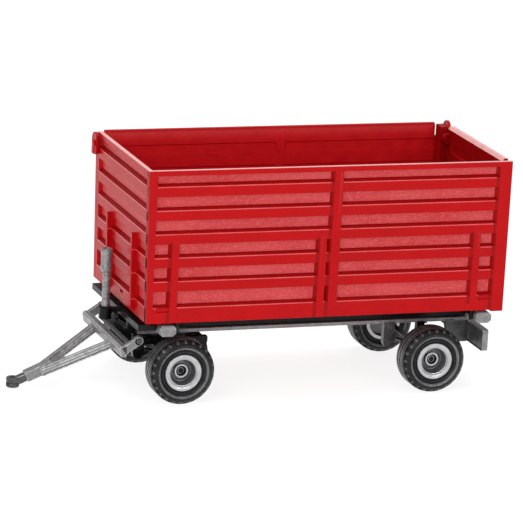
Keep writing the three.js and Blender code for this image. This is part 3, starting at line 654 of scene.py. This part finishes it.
def hingeEar(name, x, high):
    # a plate across X with round ends, dished round its pin
    arc = [math.pi * k / 12 for k in range(13)]
    line = [(x, ear["y"] + ear["half"] * math.cos(a), high + ear["half"] * math.sin(a)) for a in arc]
    line += [(x, ear["y"] - ear["half"] * math.cos(a), ear["low"] - ear["half"] * math.sin(a)) for a in arc]
    piece = plate(name, line, (ear["thick"], 0, 0))
    sink(piece, ear["lip"], -0.35, lambda c, n: n.x < -0.9)
    sink(piece, ear["lip"], -0.35, lambda c, n: n.x > 0.9)
    soften(piece, 0.18)
    return piece


def hingePin(name, start, end, body, node):
    pin = turned(name, pinLine(end - start, ear["pin"], 0.3, 0.25), "x", 28, False)
    place(pin, (start, ear["y"], ear["z"]))
    return settle(pin, body, "redGloss", [node], 40)


def turnAround(spans):
    return [(boxLength - b, boxLength - a) for a, b in spans]


flap = {"thick": 2.5, "notchLow": 97.7, "notches": [(-1, 3.4), (158.7, 166)]}
flapPanel = ribbedWall("side_flap_panel", boxLength, turnAround(side["full"]), turnAround(side["short"]),
                       turnAround(side["tabs"]), turnAround(side["pockets"]), turnAround(side["proud"]))
nudge(flapPanel, (0, flap["thick"] - wall["thick"], 0), lambda c, n: c.y > flap["thick"] - 0.1)
coat(flapPanel, 0, lambda c, n: n.z > 0.9 and c.z > wall["top"] - 0.05)
# the flap's inner face is painted the lighter red, as painted light inside the box
coat(flapPanel, 5, lambda c, n: n.y > 0.9)
clean(flapPanel)
place(flapPanel, turn=(0, 0, math.pi))
place(flapPanel, (boxLength, side["farY"], 0))
leanFront(flapPanel, side["lean"])
for start, end in flap["notches"]:
    cutOut(flapPanel, block("notch", (start, 34, flap["notchLow"]), (end, 40, 106)))
soften(flapPanel, wall["edge"], edgeHighlight=3)
tie = block("tie", (-1.8, 36.2, 93.5), (1.2, 39, 97.7))
soften(tie, 0.2)
ears = [hingeEar("earFront", -1.8, 100.2), hingeEar("earRear", 163.5, 101.6)]
flapPanel = joined("side_flap_panel", flapPanel, tie, *ears)
settle(flapPanel, "flap", reds + ["redInsideLit"], ["side_flap"])
hingePin("hinge_pin_front", -2.2, 2.4, "flap", "flap_pin_front")
hingePin("hinge_pin_rear", 159.6, 165.0, "flap", "flap_pin_rear")

gate = {"near": -33.2, "far": 29.1, "upright": 3.6, "bossX": 159.0, "bossLow": 96.1, "bossHigh": 100.9}
gateLength = gate["far"] - gate["near"]
middle = -1.8 - gate["near"]
gatePosts = [(start, start + gate["upright"]) for start in (0, middle, gateLength - gate["upright"])]
gatePanel = ribbedWall("tailgate_panel", gateLength, gatePosts)
# the tailgate's inner face is painted shade in the darker red
coat(gatePanel, 2, lambda c, n: n.y > 0.9)
# the sloped top of the tailgate gets a painted highlight
coat(gatePanel, 4, lambda c, n: n.z > 0.2 and c.z > wall["top"] - wall["rimTaper"])
place(gatePanel, turn=(0, 0, math.pi / 2))
place(gatePanel, (boxLength, gate["near"], 0))
clean(gatePanel)
soften(gatePanel, wall["edge"], edgeHighlight=3)
bosses = []
for y in (gate["near"], gate["far"] - 3):
    boss = block("boss", (gate["bossX"], y, gate["bossLow"]), (163, y + 3, gate["bossHigh"]))
    roundEdges(boss, 2.2, 5, lambda c, n: abs(n.y) > 2 and c.x < 160)
    soften(boss, 0.12)
    # the bosses are painted shade in the darker red
    coat(boss, 2, lambda c, n: True)
    bosses.append(boss)
gatePanel = joined("tailgate_panel", gatePanel, *bosses)
settle(gatePanel, "tailgate", reds, ["tailgate"])
for hand, start, end in (("left", -36.6, -30.6), ("right", 26.5, 33.58)):
    pin = turned("gate_pin_" + hand, pinLine(end - start, ear["pin"], 0.25, 0.2), "y", 28, False)
    place(pin, (161.2, start, ear["z"]))
    settle(pin, "tailgate", "redGloss", ["tailgate_pin_" + hand], 40)
print("flap, tailgate and floor moulded")

def trimmed(node, name, body, coats, width=0.18, angle=30):
    piece = fromNode(node, name)
    # the rounded edges get the painted highlight paint
    soften(piece, width, 2, angle, 1)
    return settle(piece, body, [coats, "chassisEdgeHighlight"], [node])


chassis = fromNode("chassis_frame", "chassis_ladder")
# the rear hangers of the black chassis get painted light in dark grey
coat(chassis, 3, lambda c, n: abs(c.y) > 14 and c.z < 26.8 and c.x > 100 and not 130 < c.x < 140)
# the rail's lower flanges get painted reflection in the lighter grey
coat(chassis, 2, lambda c, n: abs(c.y) > 16.7 and 26.8 < c.z < 29)
soften(chassis, 0.28, edgeHighlight=1)
ladderPaints = ["chassisBlack", "chassisEdgeHighlight", "barGrey", "chassisGrey"]
settle(chassis, "chassis", ladderPaints, ["chassis_frame"])
for end in ("front", "rear"):
    for hand in ("left", "right"):
        node = "pivot_block_" + end + "_" + hand
        trimmed(node, node + "_cast", "chassis", "barGrey", 0.5)

bar = {"x": 158.6, "thick": 2.7, "half": 34.0, "low": 17.0, "high": 26.7, "lamp": 9.0, "gap": 1.6, "rim": 2.4}
back = bar["x"] + bar["thick"]
lampBar = block("lamp_bar_cast", (bar["x"], -bar["half"], bar["low"]), (back, bar["half"], bar["high"]))
roundEdges(lampBar, 1.0, 4, lambda c, n: abs(n.x) > 2 and abs(c.y) > 33)
lampIn = bar["half"] - bar["gap"] - bar["lamp"]
lampOut = bar["half"] - bar["gap"]
cutAcross(lampBar, "y", [s * y for s in (-1, 1) for y in (lampIn, lampOut)])
cutAcross(lampBar, "z", [bar["low"] + bar["rim"], bar["high"] - bar["rim"]])
pull(lampBar, (-0.9, 0, 0), lambda c, n: n.x > 0.9 and lampIn < abs(c.y) < lampOut
     and bar["low"] + bar["rim"] < c.z < bar["high"] - bar["rim"])
sink(lampBar, 0.9, -0.5, lambda c, n: n.x < -0.9)
clean(lampBar)
# the lamp bar's top and ends get a painted highlight in the lighter grey
coat(lampBar, 2, lambda c, n: abs(n.y) > 0.5 or n.z > 0.5)
soften(lampBar, 0.25, edgeHighlight=1)
settle(lampBar, "chassis", ["chassisGrey", "chassisEdgeHighlight", "barGrey"], ["lamp_bar"])
lensHalf = 4.2
for hand, s in (("left", -1), ("right", 1)):
    y = s * (lampIn + lampOut) / 2
    lens = block("lens", (back - 0.6, y - lensHalf, 19.7), (back + 0.1, y + lensHalf, 24.0))
    cutAcross(lens, "y", [y - lensHalf + lensHalf * k / 3 for k in range(1, 6)])
    sink(lens, 0.12, 0.12, lambda c, n: n.x > 0.9, True)
    soften(lens, 0.06)
    lens.name = "lamp_lens_" + hand + "_ribbed"
    nudge(lens, (-0.12, 0, 0), lambda c, n: c.x > back + 0.15)
    settle(lens, "chassis", "lensRed", ["lamp_lens_" + hand])
print("chassis and lamp bar trimmed")

post = {"x": -5.0, "y": -1.8, "headShift": -0.4}
tubeLine = [(0, 35.2), (1.6, 35.2), (1.8, 35.5), (1.8, 38.4), (1.74, 38.7), (1.74, 45.2), (1.8, 45.5),
            (1.8, 50.4), (1.6, 50.7), (0, 50.7)]
tube = place(turned("post_tube_turned", tubeLine, "z", 32, False), (post["x"], post["y"], 0))
settle(tube, "chassis", "postSilver", ["post_tube"], 40)
headLine = [(0, 51.0), (2.2, 51.0), (2.55, 51.4), (2.55, 53.6), (2.35, 54.0), (2.35, 58.2), (2.6, 58.6),
            (2.6, 60.5), (2.2, 61.1), (1.2, 61.2), (1.0, 60.6), (0, 60.6)]
head = turned("post_head_turned", headLine, "z", 36, False)
for v in head.data.vertices:  # shallow wavy flutes between the collars, each a little round from the last
    reach = math.hypot(v.co.x, v.co.y)
    if reach > 2 and 53.8 < v.co.z < 58.4:
        ripple = 1 + 0.05 * math.sin(9 * math.atan2(v.co.y, v.co.x) + v.co.z * 2.2)
        v.co.x, v.co.y = v.co.x * ripple, v.co.y * ripple
place(head, (post["x"] + post["headShift"], post["y"], 0))
settle(head, "chassis", "postSilver", ["post_head"], 40)
print("front post turned")

bogie = fromNode("bogie_frame", "bogie_cradle")
# the hangers of the black bogie get painted light in dark grey
coat(bogie, 2, lambda c, n: abs(c.y) > 15 and c.z < 24.5 and (c.x > 28 or c.x < 8))
soften(bogie, 0.26, edgeHighlight=1)
settle(bogie, "bogie", ["chassisBlack", "chassisEdgeHighlight", "chassisGrey"], ["bogie_frame"])
kingLine = [(0, 22.6), (2.6, 22.6), (3.4, 23.0), (3.4, 23.8), (1.95, 23.8), (1.95, 29.0), (0, 29.0)]
kingpin = place(turned("kingpin_turned", kingLine, "z", 36, False), (20.2, 0, 0))
nutLine = [(0, 28.8), (3.1, 28.8), (3.4, 29.1), (3.4, 30.2), (3.1, 30.5), (1.4, 30.5), (1.4, 30.9), (0, 30.9)]
nut = turned("nut", nutLine, "z", 6, False)
place(nut, (20.2, 0, 0))
kingpin = joined("kingpin_turned", kingpin, nut)
place(kingpin, (0, 0, -0.42))
settle(kingpin, "chassis", "chassisBlack", ["kingpin"], 35)

draw = {
    "barX": -4.4, "barZ": 22.4, "barHalf": 28.4, "barDeep": 3.2, "barHigh": 4.8,
    "pivotX": 2.4, "pivotZ": 26.8, "arm": 2.4, "spreadY": 13.0, "beamHigh": 4.0, "beamThick": 2.4,
    "neckX": -31.6, "neckZ": 7.5, "neckHalf": 2.0, "eyeX": -44.7, "eyeZ": 2.6,
}


def beamBetween(name, start, end, high, thick, groove=0.0):
    # a straight beam, with a ridge between two shallow channels if asked
    start, end = Vector(start), Vector(end)
    along = (end - start).normalized()
    across = Vector((0, 0, 1)).cross(along).normalized()
    length = (end - start).length
    piece = block(name, (0, -thick / 2, -high / 2), (length, thick / 2, high / 2))
    if groove:
        cutAcross(piece, "z", [-high * 0.1, high * 0.16])
        for low, top in ((-1, -0.1), (0.16, 1)):
            sink(piece, 0.3, -groove, lambda c, n: abs(n.y) > 0.9 and low * high < c.z < top * high)
        # the channels and the underside are painted shade in a darker grey; the ridge and top stay lighter
        coat(piece, 2, lambda c, n: abs(n.y) > 0.9 and not -high * 0.1 < c.z < high * 0.16)
    coat(piece, 2, lambda c, n: n.z < -0.9)
    soften(piece, 0.25, edgeHighlight=1)
    focus(piece)
    turn = Matrix((along, across, along.cross(across))).transposed().to_4x4()
    piece.matrix_world = Matrix.Translation(start) @ turn
    bpy.ops.object.transform_apply(location=True, rotation=True, scale=True)
    return piece


half = draw["barHalf"]
barDeep, barHigh = draw["barDeep"] / 2, draw["barHigh"] / 2
crossBar = block("crossBar", (draw["barX"] - barDeep, -half, draw["barZ"] - barHigh),
                 (draw["barX"] + barDeep, half, draw["barZ"] + barHigh))
cutAcross(crossBar, "y", [-25.6, 25.6])
cutAcross(crossBar, "z", [draw["barZ"] + 0.9])
sink(crossBar, 0.5, -0.8, lambda c, n: n.x > 0.9 and abs(c.y) < 25.6)
nudge(crossBar, (0.7, 0, 0), lambda c, n: c.x < draw["barX"] - 1.5 and c.z < draw["barZ"] - 2.3)
nudge(crossBar, (0.5, 0, 0), lambda c, n: c.x < draw["barX"] - 1.5 and c.z > draw["barZ"] + 2.3)
clean(crossBar)
soften(crossBar, 0.22, edgeHighlight=1)
drawPieces = [crossBar]
bossLine = [(1.26, -1.2), (1.8, -1.2), (2.0, -1.0), (2.0, 1.0), (1.8, 1.2), (1.26, 1.2)]
for s in (-1, 1):
    y = s * (half - draw["arm"] / 2)
    pivot = (draw["pivotX"], y, draw["pivotZ"])
    arm = beamBetween("arm", (draw["barX"], y, draw["barZ"]), pivot, 3.6, draw["arm"])
    boss = place(turned("boss", bossLine, "y", 28), pivot)
    beam = beamBetween("beam", (draw["barX"], s * draw["spreadY"], draw["barZ"] - 0.4),
                       (draw["neckX"] - 1, s * draw["neckHalf"], draw["neckZ"] - 0.5), draw["beamHigh"],
                       draw["beamThick"], 0.35)
    drawPieces += [arm, boss, beam]
neck = beamBetween("neck", (draw["neckX"] + 4, 0, draw["neckZ"] + 2.2),
                   (draw["eyeX"] + 5.5, 0, draw["eyeZ"] + 2.1), 4.4, 5.0)
drawPieces.append(neck)
webLine = [(3, -2.4, 8.9), (3, 2.4, 8.9), (9.5, 4.9, 12.4), (9.5, 1.2, 12.4),
           (5, 0.6, 10.0), (5, -0.6, 10.0), (9.5, -1.2, 12.4), (9.5, -4.9, 12.4)]
web = plate("web", [(draw["neckX"] + x, y, z) for x, y, z in webLine], (0, 0, 1.0))
soften(web, 0.12)
drawPieces.append(web)
drawbar = joined("drawbar_welded", *drawPieces)
settle(drawbar, "drawbar", ["barGrey", "chassisEdgeHighlight", "chassisGrey"], ["drawbar_frame"])

eyeLine = [(1.25, -1.9), (1.5, -2.15), (2.5, -2.15), (2.9, -1.8), (2.9, -0.3), (2.6, -0.2), (2.6, 0.25),
           (2.9, 0.35), (2.9, 1.8), (2.5, 2.15), (1.5, 2.15), (1.25, 1.9)]
eye = place(turned("eye", eyeLine, "z", 36), (draw["eyeX"], 0, draw["eyeZ"]))
shank = beamBetween("shank", (draw["eyeX"] + 1.9, 0, draw["eyeZ"] + 0.5),
                    (draw["eyeX"] + 5.9, 0, draw["eyeZ"] + 2.15), 3.4, 3.6)
eye = joined("tow_eye_forged", eye, shank)
settle(eye, "drawbar", ["chassisGrey", "chassisEdgeHighlight"], ["tow_eye"], 35)
for hand, start, end in (("left", -28.9, -22.9), ("right", 22.9, 28.9)):
    pin = turned("draw_pin_" + hand, pinLine(end - start, 1.2, 0.3, 0.3), "y", 24, False)
    place(pin, (draw["pivotX"], start, draw["pivotZ"]))
    settle(pin, "drawbar", "chassisGrey", ["drawbar_pin_" + hand], 40)
print("bogie and drawbar made")

ram = {
    "x": 84.5, "bottom": 23.2, "top": 34.6, "radius": 4.6, "wall": 0.9, "floor": 0.9, "gap": 0.3,
    "head": 36.2, "ball": 1.5,
}
barrelBore = ram["radius"] - ram["wall"] + 0.15
barrelLine = [(0, 23.2), (4.3, 23.2), (4.6, 23.5), (4.6, 32.9), (4.45, 33.1), (4.45, 33.6), (4.6, 33.8),
              (4.6, 34.4), (4.4, 34.6), (barrelBore, 34.6), (barrelBore, 24.1), (0, 24.1)]
barrel = turned("barrel", barrelLine, "z", 36, False)
trunnion = turned("trunnion", [(0, -7.8), (1.1, -7.8), (1.3, -7.6), (1.3, -4.2), (0, -4.2)], "x", 24, False)
twin = place(copyOf(trunnion, "trunnion"), turn=(0, 0, math.pi))
for piece in (trunnion, twin):
    place(piece, (0, 0, 28.5))
barrel = place(joined("ram_barrel_turned", barrel, trunnion, twin), (ram["x"], 0, 0))
settle(barrel, "ram", "chassisBlack", ["ram_barrel"], 35)
for k in (1, 2, 3):
    r = ram["radius"] - k * ram["wall"]
    low = ram["bottom"] + k * (ram["floor"] + ram["gap"])
    top = ram["top"] + k * ram["gap"]
    inner = r - ram["wall"] + 0.15
    line = [(0, low), (r, low), (r, top - 0.15), (r - 0.15, top)]
    line += [(inner, top), (inner, low + 0.9), (0, low + 0.9)]
    if k == 3:
        angles = [math.pi * j / 10 for j in range(5, 11)]
        ball = [(ram["ball"] * math.sin(a), ram["head"] - ram["ball"] * math.cos(a)) for a in angles]
        line = line[:4] + [(0.9, top), (1.35, ram["head"] - 0.55)] + ball
        line[-1] = (0, line[-1][1])
    stage = place(turned(f"ram_tube_{k}", line, "z", 32, False), (ram["x"], 0, 0))
    settle(stage, f"ram_{k}", "ramSteel", [f"ram_stage_{k}"], 35)
print("ram turned")

gear = {
    "radius": 14.3, "track": 62.5, "frontX": 20.2, "rearX": 135.5, "steps": 96, "wave": 0.32, "waves": 24,
    "hangerY": 17.0, "reach": 11.9, "leafWidth": 2.4,
}
tyreHalf = [(7.8, 4.6), (8.05, 5.35), (8.35, 5.5), (8.7, 5.0), (9.3, 4.8), (9.9, 5.0), (10.35, 5.6),
            (10.8, 6.1), (11.3, 6.25), (11.9, 6.2), (12.5, 5.95), (13.05, 5.5), (13.25, 5.25), (13.5, 5.15),
            (14.1, 4.35), (14.3, 3.5), (14.3, 2.7), (13.65, 2.6), (13.65, 2.15),
            (14.3, 2.05), (14.3, 0.45), (13.65, 0.35)]
tyreLine = tyreHalf + [(r, -h) for r, h in reversed(tyreHalf)]
tyre = turned("tyre", tyreLine, "y", gear["steps"])
column = fullTurn / gear["steps"]


def everyOther(c, count):
    # true for one in count of the columns of faces round the tyre
    return math.floor(math.atan2(c.z, c.x) / column) % count == 0


def shoulderSlot(c, n):
    return 13.5 < math.hypot(c.x, c.z) < 14.25 and 4.3 < abs(c.y) < 5.2 and everyOther(c, 2)


sink(tyre, 0.08, -0.5, shoulderSlot, True)
# the sidewall ring, the crown and some shoulder lugs get a painted highlight
coat(tyre, 1, lambda c, n: 10.3 < math.hypot(c.x, c.z) < 11.4 and abs(c.y) > 5.2)
coat(tyre, 1, lambda c, n: math.hypot(c.x, c.z) > 14.2 and abs(c.y) < 4.5)
coat(tyre, 1, lambda c, n: 13.1 < math.hypot(c.x, c.z) < 14.2 and abs(c.y) > 4.2
     and everyOther(c, 4))
for v in tyre.data.vertices:  # wavy grooves round the tread
    if math.hypot(v.co.x, v.co.z) > 13.5 and abs(v.co.y) < 3:
        v.co.y += gear["wave"] * math.sin(gear["waves"] * math.atan2(v.co.z, v.co.x))
rimLine = [(1.55, 0.9), (2.1, 0.9), (2.15, 2.0), (2.35, 2.3), (2.95, 2.3), (3.15, 2.05), (3.2, 0.9),
           (4.0, 0.75), (4.15, 1.15), (4.45, 1.15), (4.6, 0.75), (4.95, 0.9), (5.25, 2.0), (5.6, 4.4),
           (5.75, 4.75), (6.05, 4.85),
           (6.15, 5.3), (6.4, 5.5), (7.5, 5.7), (7.9, 5.65), (8.1, 5.4), (8.1, 4.7), (7.6, 4.7), (7.6, -4.7),
           (8.1, -4.7), (8.1, -5.5), (7.9, -5.7), (6.6, -5.7), (6.0, -3.4), (1.55, -3.4)]
rim = turned("rim", rimLine, "y", 64)
# the dish and the rim's inner side get painted shade
coat(rim, 1, lambda c, n: math.hypot(c.x, c.z) < 5.8 and c.y > -3 and c.y < 4.7
     and not (2.2 < math.hypot(c.x, c.z) < 3.22 and c.y > 1.9))
coat(rim, 1, lambda c, n: math.hypot(c.x, c.z) < 6.8 and c.y < -3)
# the bore is painted black, as painted shade in the hole
coat(rim, 2, lambda c, n: math.hypot(c.x, c.z) < 2.2)
wheelParts = [
    (tyre, "tyre", "tyre", ["tyreRubber", "tyreRidgeHighlight"]),
    (rim, "rim", "silver_plastic", ["rimSilver", "rimPaintedShade", "chassisBlack"]),
]
for end, x in (("front", gear["frontX"]), ("rear", gear["rearX"])):
    for hand, s in (("left", -1), ("right", 1)):
        body = "wheel_" + end + "_" + hand
        for source, kind, slotName, paint in wheelParts:
            wheel = copyOf(source, kind + "_" + end + "_" + hand + "_moulded")
            place(wheel, turn=(0, 0, math.pi if s < 0 else 0))
            place(wheel, (x, s * gear["track"] / 2, gear["radius"]))
            settle(wheel, body, paint, [kind + "_" + end + "_" + hand], 35)
bpy.data.objects.remove(tyre)
bpy.data.objects.remove(rim)


def leaf(half, low, thick, rise):
    sweep = rise * (half / gear["reach"]) ** 2
    under = [(half * t, low + sweep * t * t) for t in [k / 6 - 1 for k in range(13)]]
    over = [(x, z + thick) for x, z in reversed(under)]
    piece = plate("leaf", [(x, -1.2, z) for x, z in under + over], (0, gear["leafWidth"], 0))
    soften(piece, 0.1)
    return piece


leaves = [leaf(gear["reach"], 18.0, 0.72, 1.9), leaf(9.0, 17.3, 0.66, 1.9), leaf(6.0, 16.62, 0.62, 1.9)]
clampPlate = block("clampPlate", (-1.9, -1.2, 18.0), (1.9, 1.2, 18.9))
soften(clampPlate, 0.15)
spring = joined("spring", *leaves, clampPlate)
for end, x, body in (("front", gear["frontX"], "bogie"), ("rear", gear["rearX"], "chassis")):
    for hand, s in (("left", -1), ("right", 1)):
        piece = place(copyOf(spring, "spring_" + end + "_" + hand + "_leaves"), (x, s * gear["hangerY"], 0))
        settle(piece, body, "chassisBlack", ["spring_" + end + "_" + hand])
    trimmed(end + "_axle", end + "_axle_turned", body, "chassisBlack", 0.25)
bpy.data.objects.remove(spring)
print("wheels, springs and axles made")

bpy.ops.object.select_all(action="DESELECT")
bpy.ops.mesh.primitive_plane_add(size=12, location=(0, 0, 0))
ground = bpy.context.active_object
ground.name = "studio_floor"
ground.data.materials.append(paints["floorPale"])


def softLight(name, at, aim, size, power):
    bpy.ops.object.light_add(type="AREA", location=at)
    lamp = bpy.context.active_object
    lamp.name = name
    lamp.data.shape = "RECTANGLE"
    lamp.data.size, lamp.data.size_y = size
    lamp.data.energy = power
    lamp.rotation_euler = (Vector(aim) - Vector(at)).to_track_quat("-Z", "Y").to_euler()
    return lamp


softLight("key", (-0.75, -0.75, 0.75), (0, 0, 0.05), (0.6, 0.6), 5)
softLight("fill", (0.35, -1.1, 0.35), (0, 0, 0.05), (0.5, 0.3), 2.5)
softLight("top", (0.1, 0.15, 1.2), (0, 0, 0), (1.0, 1.0), 8)

world = bpy.data.worlds.new("studio")
bpy.context.scene.world = world
world.use_nodes = True
world.node_tree.nodes["Background"].inputs["Color"].default_value = (1, 1, 1, 1)
world.node_tree.nodes["Background"].inputs["Strength"].default_value = 0.42

view = {
    "azimuth": 20.0, "elevation": 14.8, "roll": 3.2, "distance": 1.6, "lens": 252.2,
    "aim": (0.0073, 0, 0.0521),
}
azimuth, elevation = math.radians(view["azimuth"]), math.radians(view["elevation"])
level = math.cos(elevation)
forward = Vector((math.sin(azimuth) * level, math.cos(azimuth) * level, -math.sin(elevation)))
bpy.ops.object.camera_add(location=Vector(view["aim"]) - forward * view["distance"])
camera = bpy.context.active_object
camera.rotation_mode = "QUATERNION"
camera.rotation_quaternion = (Matrix.Rotation(math.radians(view["roll"]), 4, -forward)
                              @ forward.to_track_quat("-Z", "Y").to_matrix().to_4x4()).to_quaternion()
camera.data.lens = view["lens"]
camera.data.sensor_width = 36
camera.data.clip_start = 0.05
bpy.context.scene.camera = camera
bpy.context.scene.view_settings.view_transform = "Standard"
print("stage set")
